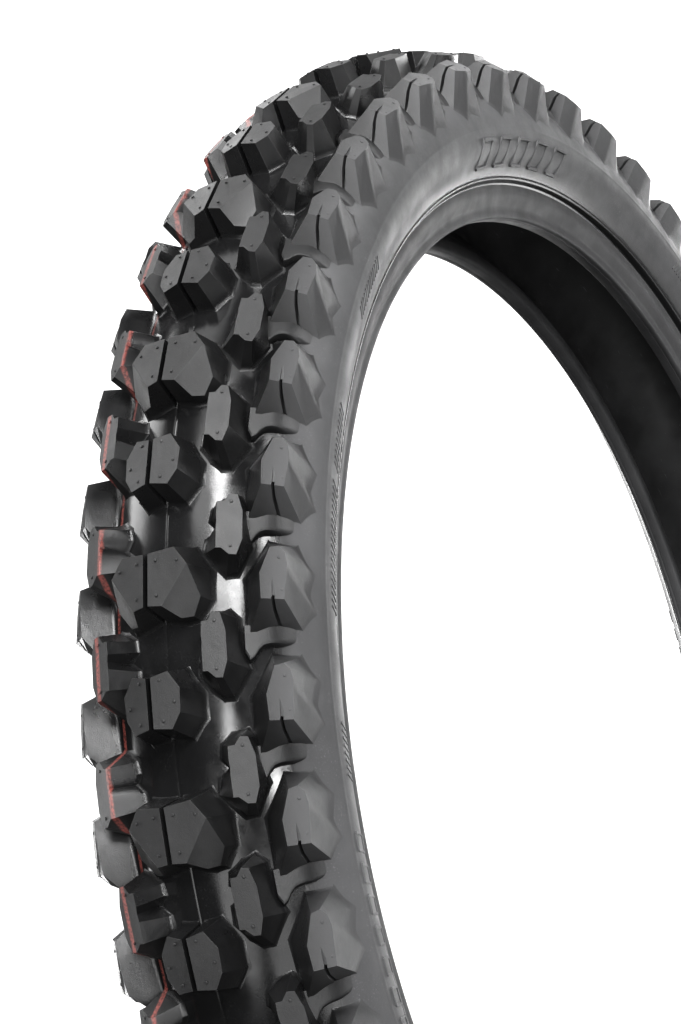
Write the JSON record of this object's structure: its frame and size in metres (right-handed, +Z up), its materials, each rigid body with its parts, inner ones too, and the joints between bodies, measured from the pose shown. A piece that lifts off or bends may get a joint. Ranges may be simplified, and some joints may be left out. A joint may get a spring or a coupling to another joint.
{
  "type": "motorcycle tire",
  "caption": "Knobby off-road motorcycle tire: blocky tread on a round casing, ribbed shoulders, plain sidewalls and wire beads for a spoked wheel.",
  "frame": {"origin": "wheel centre: on the axle line, midway between the beads", "axes": "+Y along the axle, towards the left side; +X forward; +Z up, tire upright"},
  "size_m": [0.711, 0.0938, 0.711],
  "materials": {
    "liner": "smooth butyl, slightly glossy",
    "ply": "rubber-coated nylon cord",
    "base_rubber": "plain cushion rubber",
    "tread_rubber": "satin tread rubber",
    "wire": "bronze-coated high-tensile wire",
    "bead_rubber": "hard chafer rubber",
    "sidewall_rubber": "satin sidewall rubber"
  },
  "bodies": {
    "root": {"inner_liner": "liner", "casing_ply_inner": "ply", "casing_ply_outer": "ply", "breaker_strip": "ply", "undertread": "base_rubber", "tread_band": "tread_rubber", "bead_wires_right": "wire", "bead_wires_left": "wire", "bead_insulation_right": "base_rubber", "bead_insulation_left": "base_rubber", "bead_filler_right": "base_rubber", "bead_filler_left": "base_rubber", "chafer_right": "bead_rubber", "chafer_left": "bead_rubber", "sidewall_right": "sidewall_rubber", "sidewall_left": "sidewall_rubber", "crown_blocks_narrow_right": "tread_rubber", "crown_blocks_narrow_left": "tread_rubber", "crown_blocks_wide_right": "tread_rubber", "crown_blocks_wide_left": "tread_rubber", "intermediate_blocks_inboard_right": "tread_rubber", "intermediate_blocks_inboard_left": "tread_rubber", "intermediate_blocks_outboard_right": "tread_rubber", "intermediate_blocks_outboard_left": "tread_rubber", "shoulder_blocks_right": "tread_rubber", "shoulder_blocks_left": "tread_rubber"}
  },
  "joints": []
}
